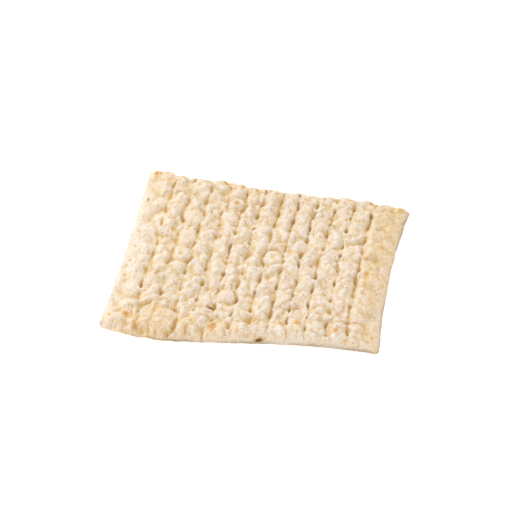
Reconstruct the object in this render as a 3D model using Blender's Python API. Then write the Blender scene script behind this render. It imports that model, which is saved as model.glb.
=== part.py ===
"""A docked flatbread: one thin baked sheet of dough, nearly rectangular.

Rows of pins pressed the raw sheet down before baking, so it rose only between them. It has fourteen
columns of small pits, each column half a row out of step with the next, and puffed ridges in
between. Metres, +Z up. The origin is under the middle of the bread, on the surface it lies on; +X
runs along its long side and +Y away from its front edge.
"""

import math

import bmesh
import bpy

MM = 0.001

# Driving dimensions: the outline. A place on the sheet is s from -1 to 1, left to right, and t from
# -1 to 1, front to back.
HALF_LENGTH = 64.0 * MM
HALF_DEPTH = 51.45 * MM
FRONT_SWING = 8.6 * MM  # the front edge swings out on the left and in on the right
FRONT_SWING_BACK = 4.8 * MM  # and turns back again towards its two corners
BACK_LEAN = 3.5 * MM  # the back edge stands further out at its left end
BACK_HOLLOW = 2.4 * MM
RIGHT_HOLLOW = 2.9 * MM  # the right edge is drawn in at its middle
RIGHT_LEAN = 1.2 * MM  # and stands further out at the back
LEFT_HOLLOW = 0.6 * MM
CORNER_RADIUS = 2.8 * MM
LIFTED_CORNER = 3.3 * MM  # the front left corner curled up in the oven
LIFTED_REACH = 34.0 * MM

# The middle of the box round the sheet, which the outline's swings leave off its own middle.
MIDDLE_X = 0.52 * MM
MIDDLE_Y = -0.76 * MM

# Driving dimensions: the docking. Column and row numbers are the lattice coordinates of the pins.
COLUMNS = 14
ROWS = 11
LEFT_MARGIN = 0.45  # in pitches, from the outer pins to the edges
RIGHT_MARGIN = 0.55
BACK_MARGIN = 0.6
FRONT_MARGIN = 0.8
PITCH_ACROSS = 9.1 * MM
PITCH_ALONG = 9.3 * MM
PIN_WANDER = 1.1 * MM
SEAM_MEANDER = 1.0 * MM  # the seams wind a little round the lumps
SIDE_STRETCH = 0.055  # the columns stand a little wider apart near the two sides
END_SHRINK = 0.10  # the rows stand a little closer together near the front and the back

# Driving dimensions: heights above the flat underside, at full puff.
CREST_HEIGHT = 6.6 * MM
SEAM_HEIGHT = 3.5 * MM
PIT_FLOOR = 2.5 * MM
PIT_HALF_WIDTH = 1.0 * MM
PIT_HALF_LENGTH = 1.5 * MM
PIT_CLOSING = 0.55  # how far the most closed pit has sprung back
PIT_SHIFT = 0.3  # how far a pit may stand out of line along its column, in pitches
EDGE_HEIGHT = 0.9 * MM  # where the sheet is widest
RIM_TUCK = 1.7 * MM  # the underside starts this far in from the edge
SIDE_SLOPE = {"left": 14.0 * MM, "right": 11.0 * MM, "front": 8.0 * MM, "back": 4.6 * MM}
SIDE_FULLNESS = {"left": 1.9, "right": 1.5, "front": 1.2, "back": 2.0}  # 1 is a plain bevel
SIDE_UNEVENNESS = 0.35  # how much the slope's width varies along the edge
EDGE_WOBBLE = 0.5 * MM  # how far the edge itself wanders in and out
FRONT_STEEPENING = 0.45  # the front slope is this much steeper on the right than on the left
LEFT_BAND_DROP = 0.9 * MM
SHEET_SWELL = 0.45 * MM  # the whole sheet is a little thicker here and thinner there

# The seams between the ridges: how sharp they are, and the share of their depth that closed up
# between two pins, least and most.
SEAM_SHARPNESS = 1.9
SEAM_CLOSING_LEAST = 0.3
SEAM_CLOSING_MOST = 1.0

# The ridges on the right have flatter tops and narrower, more closed seams.
FLAT_FROM = 6.5  # column where this begins, and where it is full
FLAT_FULLY = 9.5
EVEN_SEAM_SHARPNESS = 3.2
EVEN_SEAM_CLOSING = 0.1
# This much of the height is in the ridge itself there and no longer in its lumps.
EVEN_LUMPS = 0.2

# The left third rose less evenly: fainter seams, and lumps that stand apart.
UNEVEN_UNTIL = 1.0  # column where this begins to fade, and where it has gone
EVEN_FROM = 5.0
UNEVEN_SEAM_CLOSING = 0.45
UNEVEN_LUMPS = 0.22

# Here and there a broad lump rose across a seam and closed it.
CROSSING_LUMPS_TO_PITCH = 0.8
CROSSING_SHARE = 0.55  # how many of the places for one have one
CROSSING_HEIGHT = 0.5 * MM

# The lumps that the ridges rose in, as shares of the ridge's height.
RIDGE_SHARE = 0.28
LUMP_SHARE = 0.55
LUMP_VARIATION = 0.42
LUMP_SCATTER = 0.9
LUMP_SOFTNESS = 0.42  # how soft the creases between lumps are
LUMP_WOBBLE_ACROSS = 0.2
LUMP_WOBBLE_ALONG = 0.3
SMALL_LUMP_HEIGHT = 1.3 * MM
SMALL_LUMPS_TO_PITCH = 2.2
SMALL_LUMP_SCATTER = 0.95

# Large blisters that break the pattern: column, row, radius, height above the sheet, depth of the
# burst crater in the middle.
BLISTERS = [
    (4.65, 1.35, 4.3 * MM, 6.9 * MM, 1.8 * MM),
    (2.55, 2.75, 5.2 * MM, 7.2 * MM, 0.0),
    (2.6, 4.1, 5.8 * MM, 6.9 * MM, 0.0),
    (2.5, 5.35, 5.4 * MM, 7.0 * MM, 1.1 * MM),
    (7.45, 4.95, 5.6 * MM, 7.1 * MM, 1.1 * MM),
    (4.45, 2.45, 5.2 * MM, 6.9 * MM, 0.0),
    (8.7, 3.95, 4.6 * MM, 6.9 * MM, 0.0),
    (5.5, 7.75, 5.4 * MM, 6.8 * MM, 0.0),
]
BLISTER_CROWN = 2.4 * MM  # from its top down to its edge
BLISTER_WOBBLE = 0.26
BLISTER_MOAT = 0.8 * MM  # the sheet is drawn down round it
RIMLESS_CRATER = 1.1 * MM  # a deeper crater has a rim, as high as it is deeper than this
BLISTER_SHARE = 0.85  # how far it hides the pattern under it

# At the front left one rose as a block with straight sides: column, row, half its width and half its
# depth.
BLOCK = (2.27, 9.67, 7.7 * MM, 7.2 * MM)
BLOCK_HEIGHT = 6.6 * MM
BLOCK_MOAT = 2.0 * MM
BLOCK_CREASE = 0.3 * MM  # down its top, a little left of its middle

# Mesh density: grid lines to a pitch on top, where the underside has one, and the first lines in
# from an edge, in pitches.
LINES_ACROSS = 5
LINES_ALONG = 6
EDGE_LINES = (0.0, 0.04, 0.11)

SEED = 7
CRUST_COLOUR = (0.82, 0.68, 0.48, 1.0)
CRUST_ROUGHNESS = 0.85


class Field:
    """A number that varies over the sheet, so that a formula of it can be written out."""

    def __init__(self, tree, socket):
        self.tree = tree
        self.socket = socket

    def __add__(self, other):
        return calculate(self.tree, "ADD", self, other)

    def __radd__(self, other):
        return calculate(self.tree, "ADD", other, self)

    def __sub__(self, other):
        return calculate(self.tree, "SUBTRACT", self, other)

    def __rsub__(self, other):
        return calculate(self.tree, "SUBTRACT", other, self)

    def __mul__(self, other):
        return calculate(self.tree, "MULTIPLY", self, other)

    def __rmul__(self, other):
        return calculate(self.tree, "MULTIPLY", other, self)

    def __truediv__(self, other):
        return calculate(self.tree, "DIVIDE", self, other)

    def __pow__(self, other):
        return calculate(self.tree, "POWER", self, other)

    def __abs__(self):
        return calculate(self.tree, "ABSOLUTE", self)


def calculate(tree, operation, *values):
    """The result of one Math node fed with fields or plain numbers."""
    node = tree.nodes.new("ShaderNodeMath")
    node.operation = operation
    for socket, value in zip(node.inputs, values):
        if isinstance(value, Field):
            tree.links.new(value.socket, socket)
        else:
            socket.default_value = value
    return Field(tree, node.outputs[0])


def floor(field):
    return calculate(field.tree, "FLOOR", field)


def smaller(field, other):
    return calculate(field.tree, "MINIMUM", field, other)


def larger(field, other):
    return calculate(field.tree, "MAXIMUM", field, other)


def bell(distance_squared):
    """1 at distance 0, falling away on all sides."""
    return calculate(distance_squared.tree, "EXPONENT", distance_squared * -1.0)


def ramp(field, start, end):
    """0 before start, 1 after end, and a smooth rise between."""
    share = smaller(larger((field - start) / (end - start), 0.0), 1.0)
    return share * share * (3.0 - 2.0 * share)


def point(tree, x, y, z):
    """A vector made of three fields or numbers."""
    node = tree.nodes.new("ShaderNodeCombineXYZ")
    for socket, value in zip(node.inputs, (x, y, z)):
        if isinstance(value, Field):
            tree.links.new(value.socket, socket)
        else:
            socket.default_value = value
    return node.outputs[0]


def chance(tree, x, y, salt):
    """A random number from 0 to 1 for each whole pair x, y."""
    node = tree.nodes.new("ShaderNodeTexWhiteNoise")
    node.noise_dimensions = "3D"
    tree.links.new(point(tree, x, y, SEED + salt), node.inputs["Vector"])
    return Field(tree, node.outputs["Value"])


def waves(tree, x, y, salt, detail=1.0):
    """Smooth noise between about -1 and 1, one swell to a unit of x and y."""
    node = tree.nodes.new("ShaderNodeTexNoise")
    node.noise_dimensions = "3D"
    node.inputs["Scale"].default_value = 1.0
    node.inputs["Detail"].default_value = detail
    tree.links.new(point(tree, x, y, 3.7 * (SEED + salt)), node.inputs["Vector"])
    return (Field(tree, node.outputs[0]) - 0.5) * 2.5


def lumps(tree, x, y, salt, randomness):
    """Distance to the middle of the nearest lump, about one to a unit square, and a random number
    for each lump."""
    node = tree.nodes.new("ShaderNodeTexVoronoi")
    node.voronoi_dimensions = "2D"
    node.feature = "SMOOTH_F1"
    node.inputs["Scale"].default_value = 1.0
    node.inputs["Smoothness"].default_value = LUMP_SOFTNESS
    node.inputs["Randomness"].default_value = randomness
    shift = 20.0 * (SEED + salt) - 0.5 * randomness
    tree.links.new(point(tree, x + shift, y + shift, 0.0), node.inputs["Vector"])
    split = tree.nodes.new("FunctionNodeSeparateColor")
    tree.links.new(node.outputs["Color"], split.inputs[0])
    return Field(tree, node.outputs["Distance"]), Field(tree, split.outputs[0])


def rounded(distance, fullness=2.0):
    """1 on top of a lump and 0 between lumps, flatter on top the fuller it is."""
    away = distance / 0.74
    return larger(1.0 - away ** fullness, 0.0)


def lattice(s, t):
    """Column and row numbers of a place on the sheet."""
    columns_wide = COLUMNS - 1 + LEFT_MARGIN + RIGHT_MARGIN
    rows_deep = ROWS - 1 + BACK_MARGIN + FRONT_MARGIN
    column = (s + 1.0) * (0.5 * columns_wide) - LEFT_MARGIN
    row = (1.0 - t) * (0.5 * rows_deep) - BACK_MARGIN
    return column, row


def plan(s, t):
    """Where a place on the sheet lies, seen from above, before the corners are rounded."""
    left = -HALF_LENGTH + LEFT_HOLLOW * (1.0 - t * t)
    right = HALF_LENGTH - RIGHT_HOLLOW * (1.0 - t * t) + RIGHT_LEAN * t
    front = -HALF_DEPTH + FRONT_SWING * s - FRONT_SWING_BACK * s * s * s
    back = HALF_DEPTH - BACK_LEAN * s - BACK_HOLLOW * (1.0 - s * s)
    along_length = s + SIDE_STRETCH * (s * s * s - s)
    along_depth = t - END_SHRINK * (t * t * t - t)
    x = (left + right) * 0.5 + along_length * (right - left) * 0.5
    y = (front + back) * 0.5 + along_depth * (back - front) * 0.5
    return x - MIDDLE_X, y - MIDDLE_Y


def corner_pull(s, t):
    """How far the four square corners are drawn in to make them round, along x and along y."""
    inside_x = HALF_LENGTH * (1.0 - abs(s))
    inside_y = HALF_DEPTH * (1.0 - abs(t))
    share_x = larger(1.0 - inside_x / CORNER_RADIUS, 0.0)
    share_y = larger(1.0 - inside_y / CORNER_RADIUS, 0.0)
    round_x = 1.0 - calculate(s.tree, "SQRT", 1.0 - 0.5 * share_y * share_y)
    round_y = 1.0 - calculate(s.tree, "SQRT", 1.0 - 0.5 * share_x * share_x)
    pull_x = CORNER_RADIUS * share_x * round_x * calculate(s.tree, "SIGN", s)
    pull_y = CORNER_RADIUS * share_y * round_y * calculate(t.tree, "SIGN", t)
    return pull_x, pull_y


def row_past_step(nearest_column, row):
    """Row number counted along one pin column: every other column is half a row out of step."""
    return row - 0.5 * calculate(row.tree, "FLOORED_MODULO", nearest_column, 2.0)


def crossing_lumps(column, row, uneven):
    """1 on top of a lump that rose across the seams, more of them where the sheet is uneven."""
    across = CROSSING_LUMPS_TO_PITCH * column
    along = CROSSING_LUMPS_TO_PITCH * row
    distance, own = lumps(column.tree, across, along, 21, 1.0)
    there = 1.0 - ramp(own, CROSSING_SHARE, CROSSING_SHARE + 0.15)
    inner = ramp(column, 0.6, 1.6)
    return ramp(rounded(distance), 0.05, 0.8) * there * inner * (0.6 + 0.4 * uneven)


def ridges(column, row, crest, seam):
    """Height of the docked sheet away from its edges: lumpy ridges between the pin columns."""
    tree = column.tree
    nearest_column = floor(column + 0.5)
    across = abs(column - nearest_column)
    along = row_past_step(nearest_column, row)
    uneven = 1.0 - ramp(column, UNEVEN_UNTIL, EVEN_FROM)
    flat = ramp(column, FLAT_FROM, FLAT_FULLY)

    # The seam between two ridges is deepest at the pins. There is none along the outer pin columns,
    # and hardly any on the front slope.
    between_pins = calculate(tree, "SINE", abs(along) * math.pi) ** 2.0
    luck = chance(tree, nearest_column, floor(along), 1)
    closing = SEAM_CLOSING_LEAST + (SEAM_CLOSING_MOST - SEAM_CLOSING_LEAST) * luck * luck
    closing = closing + UNEVEN_SEAM_CLOSING * uneven + EVEN_SEAM_CLOSING * flat
    seam_share = 1.0 - between_pins * smaller(closing, 1.0)
    outer = ramp(column, COLUMNS - 1.5, COLUMNS - 1.0) + 1.0 - ramp(column, 0.1, 0.8)
    outer = larger(outer, ramp(row, ROWS - 2.0, ROWS - 1.5) * (1.0 - ramp(column, 4.0, 5.0)))
    outer = larger(outer, 0.5 * ramp(row, ROWS - 0.9, ROWS - 0.4))
    crossing = crossing_lumps(column, row, uneven)
    seam_share = seam_share * (1.0 - outer) * (1.0 - 0.85 * crossing) * (1.0 - 0.2 * flat)
    sharpness = SEAM_SHARPNESS + (EVEN_SEAM_SHARPNESS - SEAM_SHARPNESS) * flat
    arch = 1.0 - seam_share * (1.0 - 2.0 * across) ** sharpness

    # Each ridge rose in lumps of its own, about as long as the rows are apart.
    lump_x = column - 0.5 + LUMP_WOBBLE_ACROSS * waves(tree, 0.8 * column, 0.8 * row, 2)
    lump_y = row + LUMP_WOBBLE_ALONG * waves(tree, 0.8 * column, 0.8 * row, 3)
    distance, own = lumps(tree, lump_x, lump_y, 4, LUMP_SCATTER)
    lump = rounded(distance, 2.0 + 1.4 * flat)
    lump_share = LUMP_SHARE + UNEVEN_LUMPS * uneven - EVEN_LUMPS * flat + LUMP_VARIATION * own
    puff = arch * (RIDGE_SHARE - UNEVEN_LUMPS * uneven + EVEN_LUMPS * flat + lump * lump_share)
    height = seam + (crest - seam) * puff
    swell = SHEET_SWELL * waves(tree, 0.3 * column, 0.3 * row, 5)
    return height + swell + CROSSING_HEIGHT * crossing


def raise_blister(column, row, height, blistered, blister):
    """The sheet with one large blister puffed up out of it, and how much of it is blister."""
    centre_column, centre_row, radius, top, crater = blister
    off_x = (column - centre_column) * (PITCH_ACROSS / radius)
    off_y = (row - centre_row) * (PITCH_ALONG / radius)
    wobble = 1.0 + BLISTER_WOBBLE * waves(column.tree, 1.1 * column, 1.1 * row, 8)
    distance = calculate(column.tree, "SQRT", off_x * off_x + off_y * off_y) * wobble
    dome = top - BLISTER_CROWN * distance ** 2.4
    if crater:
        beside_rim = (distance - 0.5) * 6.0
        rim = max(crater - RIMLESS_CRATER, 0.0)
        dome = dome - crater * bell(distance * distance * 9.0) + rim * bell(beside_rim * beside_rim)
    beside = (distance - 1.05) * 6.0
    height = height - BLISTER_MOAT * bell(beside * beside)
    inside = 1.0 - ramp(distance, 0.76, 1.03)
    return height + (dome - height) * inside * BLISTER_SHARE, larger(inside, blistered)


def raise_block(column, row, height):
    """The sheet with the block puffed up at its front left, and how much of it is block."""
    centre_column, centre_row, half_width, half_depth = BLOCK
    off_x = abs(column - centre_column) * (PITCH_ACROSS / half_width)
    off_y = abs(row - centre_row) * (PITCH_ALONG / half_depth)
    wobble = 1.0 + 0.16 * waves(column.tree, 1.6 * column, 1.6 * row, 28, 2.0)
    distance = (off_x ** 4.0 + off_y ** 4.0) ** 0.25 * wobble
    folds = 0.6 * MM * waves(column.tree, 3.0 * column, 1.2 * row, 29, 2.0)
    from_crease = (column - centre_column + 0.22) * 12.0 + 1.5 * waves(column.tree, 1.0, row, 30)
    top = BLOCK_HEIGHT - 1.2 * MM * distance * distance + folds
    top = top - BLOCK_CREASE * bell(from_crease * from_crease)
    beside = (distance - 1.12) * 6.5
    height = height - BLOCK_MOAT * bell(beside * beside) * (0.2 + 0.8 * ramp(off_x, 0.4, 0.9))
    inside = 1.0 - ramp(distance, 0.88, 1.02)
    return height + (top - height) * inside * BLISTER_SHARE, inside


def small_swellings(column, row):
    """The smaller lumps on the large ones."""
    tree = column.tree
    distance, own = lumps(
        tree, SMALL_LUMPS_TO_PITCH * column, SMALL_LUMPS_TO_PITCH * row, 11, SMALL_LUMP_SCATTER
    )
    ripple = 0.35 * waves(tree, 2.4 * column, 2.4 * row, 6)
    uneven = 1.0 - ramp(column, UNEVEN_UNTIL, EVEN_FROM)
    knobbly = SMALL_LUMP_HEIGHT * (0.25 + 0.65 * ramp(column, 0.5, 1.4) + 0.1 * uneven)
    knobbly = knobbly * (1.0 - 0.6 * ramp(column, COLUMNS - 1.6, COLUMNS - 1.0))
    return knobbly * (rounded(distance) * (0.4 + own) - 0.5 + ripple)


def press_pits(column, row, height, blistered, pit_floor):
    """The sheet with the pits that the pins left, longer along the columns than across them."""
    nearest_column = floor(column + 0.5)
    along = row_past_step(nearest_column, row)
    nearest_row = floor(along + 0.5)
    width_luck = chance(column.tree, nearest_column, nearest_row, 24)
    length_luck = chance(column.tree, nearest_column, nearest_row, 25)
    shift = PIT_SHIFT * (chance(column.tree, nearest_column, nearest_row, 26) - 0.5)
    small = 1.0 - 0.3 * (1.0 - ramp(column, 0.3, 0.7))
    half_width = PIT_HALF_WIDTH * (0.75 + 0.5 * width_luck) * small
    half_length = PIT_HALF_LENGTH * (0.6 + 0.9 * length_luck) * small
    off_x = (column - nearest_column) * PITCH_ACROSS / half_width
    off_y = (along - nearest_row - shift) * PITCH_ALONG / half_length
    depth = 1.0 - PIT_CLOSING * chance(column.tree, nearest_column, nearest_row, 12)
    depth = depth * (0.65 + 0.35 * ramp(column, 3.0, 6.0))
    depth = depth * (1.0 - 0.8 * ramp(column, COLUMNS - 1.6, COLUMNS - 1.2))
    depth = depth * (1.0 - 0.8 * ramp(row, ROWS - 0.9, ROWS - 0.7))
    pit = bell(off_x * off_x + off_y * off_y) * depth * (1.0 - 0.8 * blistered)
    return height + (pit_floor - height) * pit


def edge_share(s, t, column, row):
    """0 at the edge of the sheet, 1 where it has its full thickness."""
    uneven = 1.0 + SIDE_UNEVENNESS * waves(s.tree, 1.2 * column, 1.2 * row, 20)
    sides = {
        "left": (1.0 + s) * HALF_LENGTH,
        "right": (1.0 - s) * HALF_LENGTH,
        "front": (1.0 + t) * HALF_DEPTH * (1.0 + FRONT_STEEPENING * ramp(column, 3.0, 6.0)),
        "back": (1.0 - t) * HALF_DEPTH,
    }
    share = 1.0
    for side, inside in sides.items():
        short = 1.0 - smaller(inside / SIDE_SLOPE[side] * uneven, 1.0)
        share = (1.0 - short ** 2.2) ** (1.0 / SIDE_FULLNESS[side]) * share
    return share


def docked_sheet_tree():
    """Lifts, docks and puffs a flat blank, whose points hold s, t and 1 on top or 0 underneath."""
    tree = bpy.data.node_groups.new("docked sheet", "GeometryNodeTree")
    tree.interface.new_socket("Geometry", in_out="INPUT", socket_type="NodeSocketGeometry")
    sizes = {"Crest height": CREST_HEIGHT, "Seam height": SEAM_HEIGHT, "Pit floor": PIT_FLOOR}
    for name, size in sizes.items():
        socket = tree.interface.new_socket(name, in_out="INPUT", socket_type="NodeSocketFloat")
        socket.default_value = size
    tree.interface.new_socket("Geometry", in_out="OUTPUT", socket_type="NodeSocketGeometry")
    group_in = tree.nodes.new("NodeGroupInput")
    group_out = tree.nodes.new("NodeGroupOutput")
    crest, seam, pit_floor = (Field(tree, group_in.outputs[name]) for name in sizes)

    blank = tree.nodes.new("ShaderNodeSeparateXYZ")
    tree.links.new(tree.nodes.new("GeometryNodeInputPosition").outputs[0], blank.inputs[0])
    s, t, on_top = (Field(tree, socket) for socket in blank.outputs)
    column, row = lattice(s, t)

    share = edge_share(s, t, column, row)
    height = ridges(column, row, crest, seam)
    blistered = 0.0
    for blister in BLISTERS:
        height, blistered = raise_blister(column, row, height, blistered, blister)
    height, blocked = raise_block(column, row, height)
    blistered = larger(blistered, blocked)
    height = height - LEFT_BAND_DROP * (1.0 - ramp(column, 0.2, 1.6))
    swellings = small_swellings(column, row) * (1.0 - 0.6 * blistered)
    height = press_pits(column, row, height + swellings, blistered, pit_floor)
    top = EDGE_HEIGHT + (height - EDGE_HEIGHT) * share + 2.0 * swellings * (share - share * share)

    x, y = plan(s, t)
    pull_x, pull_y = corner_pull(s, t)
    wander_x = PIN_WANDER * waves(tree, 0.55 * column, 0.55 * row, 9, 2.0)
    wander_y = PIN_WANDER * waves(tree, 0.55 * column, 0.55 * row, 10, 2.0)
    meander = SEAM_MEANDER * waves(tree, 1.2 * column, 1.2 * row, 19)
    x = x - pull_x + (wander_x + meander) * share * on_top
    y = y - pull_y + wander_y * share * on_top
    x = x + EDGE_WOBBLE * waves(tree, 0.4 * column, 1.2 * row, 22) * s ** 9.0
    y = y + EDGE_WOBBLE * waves(tree, 1.2 * column, 0.4 * row, 23) * t ** 9.0

    corner_x = (1.0 + s) * (HALF_LENGTH / LIFTED_REACH)
    corner_y = (1.0 + t) * (HALF_DEPTH / LIFTED_REACH)
    corner = larger(1.0 - calculate(tree, "SQRT", corner_x * corner_x + corner_y * corner_y), 0.0)
    z = top * on_top + LIFTED_CORNER * corner * corner

    place = tree.nodes.new("GeometryNodeSetPosition")
    tree.links.new(group_in.outputs["Geometry"], place.inputs["Geometry"])
    tree.links.new(point(tree, x, y, z), place.inputs["Position"])
    tree.links.new(place.outputs["Geometry"], group_out.inputs["Geometry"])
    return tree


def grid_lines(pins, before, after, lines_to_pitch):
    """Lattice coordinates of the grid lines one way: close together at both edges, even between."""
    first = -before
    last = pins - 1 + after
    start = math.ceil((first + 0.2) * lines_to_pitch)
    stop = math.floor((last - 0.2) * lines_to_pitch)
    inner = [line / lines_to_pitch for line in range(start, stop + 1)]
    return [first + gap for gap in EDGE_LINES] + inner + [last - gap for gap in reversed(EDGE_LINES)]


def shares(lines):
    """The same lines from -1 at the first to 1 at the last."""
    return [2.0 * (line - lines[0]) / (lines[-1] - lines[0]) - 1.0 for line in lines]


def every(count, lines_to_one):
    """Indexes of the lines that the underside keeps: the first, the last, and one in several."""
    kept = list(range(0, count - lines_to_one // 2 - 1, lines_to_one))
    return kept + [count - 1]


def flat_blank():
    """A closed flat sheet: a fine grid on top, a coarse one below, a rim face to each coarse edge."""
    blank = bmesh.new()
    across = shares(grid_lines(COLUMNS, LEFT_MARGIN, RIGHT_MARGIN, LINES_ACROSS))
    along = [-share for share in shares(grid_lines(ROWS, BACK_MARGIN, FRONT_MARGIN, LINES_ALONG))]
    top = [[blank.verts.new((s, t, 1.0)) for s in across] for t in along]
    for row in range(len(along) - 1):
        for column in range(len(across) - 1):
            blank.faces.new(
                (
                    top[row][column],
                    top[row + 1][column],
                    top[row + 1][column + 1],
                    top[row][column + 1],
                )
            )

    kept_across = every(len(across), LINES_ACROSS)
    kept_along = every(len(along), LINES_ALONG)
    tuck_s = 1.0 - RIM_TUCK / HALF_LENGTH
    tuck_t = 1.0 - RIM_TUCK / HALF_DEPTH
    under = [
        [blank.verts.new((across[i] * tuck_s, along[j] * tuck_t, 0.0)) for i in kept_across]
        for j in kept_along
    ]
    for row in range(len(under) - 1):
        for column in range(len(under[0]) - 1):
            blank.faces.new(
                (
                    under[row][column],
                    under[row][column + 1],
                    under[row + 1][column + 1],
                    under[row + 1][column],
                )
            )

    for step, (start, stop) in enumerate(zip(kept_across, kept_across[1:])):
        back = [top[0][i] for i in range(start, stop + 1)]
        blank.faces.new(back + [under[0][step + 1], under[0][step]])
        front = [top[-1][i] for i in range(stop, start - 1, -1)]
        blank.faces.new(front + [under[-1][step], under[-1][step + 1]])
    for step, (start, stop) in enumerate(zip(kept_along, kept_along[1:])):
        left = [top[j][0] for j in range(stop, start - 1, -1)]
        blank.faces.new(left + [under[step][0], under[step + 1][0]])
        right = [top[j][-1] for j in range(start, stop + 1)]
        blank.faces.new(right + [under[step + 1][-1], under[step][-1]])
    bmesh.ops.recalc_face_normals(blank, faces=blank.faces)
    return blank


def crust_material():
    material = bpy.data.materials.new("baked crust")
    material.use_nodes = True
    surface = material.node_tree.nodes["Principled BSDF"]
    surface.inputs["Base Color"].default_value = CRUST_COLOUR
    surface.inputs["Roughness"].default_value = CRUST_ROUGHNESS
    surface.inputs["Metallic"].default_value = 0.0
    return material


def make_flatbread():
    mesh = bpy.data.meshes.new("flatbread")
    blank = flat_blank()
    blank.to_mesh(mesh)
    blank.free()
    mesh.shade_smooth()
    mesh.materials.append(crust_material())
    flatbread = bpy.data.objects.new("flatbread", mesh)
    bpy.context.scene.collection.objects.link(flatbread)
    docking = flatbread.modifiers.new("docked sheet", "NODES")
    docking.node_group = docked_sheet_tree()
    return flatbread


for leftover in list(bpy.data.objects):
    bpy.data.objects.remove(leftover)
make_flatbread()
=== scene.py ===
import math

import bpy
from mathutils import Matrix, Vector


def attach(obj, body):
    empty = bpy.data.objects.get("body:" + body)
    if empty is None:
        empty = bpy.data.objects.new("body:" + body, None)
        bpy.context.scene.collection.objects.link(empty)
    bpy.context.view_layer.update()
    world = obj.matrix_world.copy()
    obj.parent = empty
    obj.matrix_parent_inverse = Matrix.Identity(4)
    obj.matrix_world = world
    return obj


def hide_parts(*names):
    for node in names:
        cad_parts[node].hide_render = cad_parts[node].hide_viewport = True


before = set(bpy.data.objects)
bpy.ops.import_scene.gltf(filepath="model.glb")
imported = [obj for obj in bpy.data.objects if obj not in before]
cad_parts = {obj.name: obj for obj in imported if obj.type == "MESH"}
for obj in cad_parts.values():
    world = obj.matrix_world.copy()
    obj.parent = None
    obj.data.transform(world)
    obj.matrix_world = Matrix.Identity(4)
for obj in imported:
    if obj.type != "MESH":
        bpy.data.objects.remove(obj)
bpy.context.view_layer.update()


# ----------------------------------------------------------------------------------------------
# The baked sheet. A thin sheet of dough, docked with fourteen columns of pins, each column half a
# row out of step with the next. In the oven it puffed between the pins into lumpy ridges, and a few
# blisters broke the pattern. The underside stayed flat on the oven band.

MM = 0.001

# The outline. A place on the sheet is s from -1 to 1, left to right, and t from -1 to 1, front to
# back.
HALF_LENGTH = 64.0 * MM
HALF_DEPTH = 51.45 * MM
FRONT_SWING = 8.6 * MM  # the front edge swings out on the left and in on the right
FRONT_SWING_BACK = 4.8 * MM  # and turns back again towards its two corners
BACK_LEAN = 3.5 * MM  # the back edge stands further out at its left end
BACK_HOLLOW = 2.4 * MM
RIGHT_HOLLOW = 2.9 * MM  # the right edge is drawn in at its middle
RIGHT_LEAN = 1.2 * MM  # and stands further out at the back
LEFT_HOLLOW = 0.6 * MM
CORNER_RADIUS = 2.8 * MM
LIFTED_CORNER = 3.3 * MM  # the front left corner curled up in the oven
LIFTED_REACH = 34.0 * MM
MIDDLE_X = 0.52 * MM  # the middle of the box round the sheet
MIDDLE_Y = -0.76 * MM

# The docking, and the heights above the flat underside at full puff.
COLUMNS = 14
ROWS = 11
LEFT_MARGIN = 0.45  # in pitches, from the outer pins to the edges
RIGHT_MARGIN = 0.55
BACK_MARGIN = 0.6
FRONT_MARGIN = 0.8
PITCH_ACROSS = 9.1 * MM
PITCH_ALONG = 9.3 * MM
PIN_WANDER = 1.1 * MM
SEAM_MEANDER = 1.0 * MM  # the seams wind a little round the lumps
SIDE_STRETCH = 0.055  # the columns stand a little wider apart near the two sides
END_SHRINK = 0.10  # the rows stand a little closer together near the front and the back
CREST_HEIGHT = 6.6 * MM
SEAM_HEIGHT = 3.5 * MM
PIT_FLOOR = 3.0 * MM
PIT_HALF_WIDTH = 0.8 * MM
PIT_HALF_LENGTH = 1.05 * MM
PIT_CLOSING = 0.75  # how far the most closed pit has sprung back
PIT_SHIFT = 0.3  # how far a pit may stand out of line along its column, in pitches
EDGE_HEIGHT = 0.9 * MM  # where the sheet is widest
RIM_TUCK = 1.7 * MM  # the underside starts this far in from the edge
SIDE_SLOPE = {"left": 14.0 * MM, "right": 11.0 * MM, "front": 8.0 * MM, "back": 4.6 * MM}
SIDE_FULLNESS = {"left": 1.9, "right": 1.5, "front": 1.2, "back": 2.0}  # 1 is a plain bevel
SIDE_UNEVENNESS = 0.35  # how much the slope's width varies along the edge
EDGE_WOBBLE = 0.5 * MM  # how far the edge itself wanders in and out
FRONT_STEEPENING = 0.45  # the front slope is this much steeper on the right than on the left
LEFT_BAND_DROP = 0.9 * MM
SHEET_SWELL = 0.45 * MM  # the whole sheet is a little thicker here and thinner there

# The seams between the ridges, and the left third, which rose less evenly.
SEAM_SHARPNESS = 1.9
EVEN_SEAM_SHARPNESS = 3.2  # the ridges on the right have flatter tops and narrower seams
FLAT_FROM = 6.5  # column where that begins, and where it is full
FLAT_FULLY = 9.5
SEAM_CLOSING_LEAST = 0.3
SEAM_CLOSING_MOST = 1.0
EVEN_SEAM_CLOSING = 0.1
EVEN_LUMPS = 0.2  # this much of the ridge's height is in the ridge and no longer in its lumps
UNEVEN_UNTIL = 1.0  # column where the uneven third begins to fade, and where it has gone
EVEN_FROM = 5.0
UNEVEN_SEAM_CLOSING = 0.45
UNEVEN_LUMPS = 0.22

# Here and there a broad lump rose across a seam and closed it.
CROSSING_LUMPS_TO_PITCH = 0.8
CROSSING_SHARE = 0.55  # how many of the places for one have one
CROSSING_HEIGHT = 0.5 * MM

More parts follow.
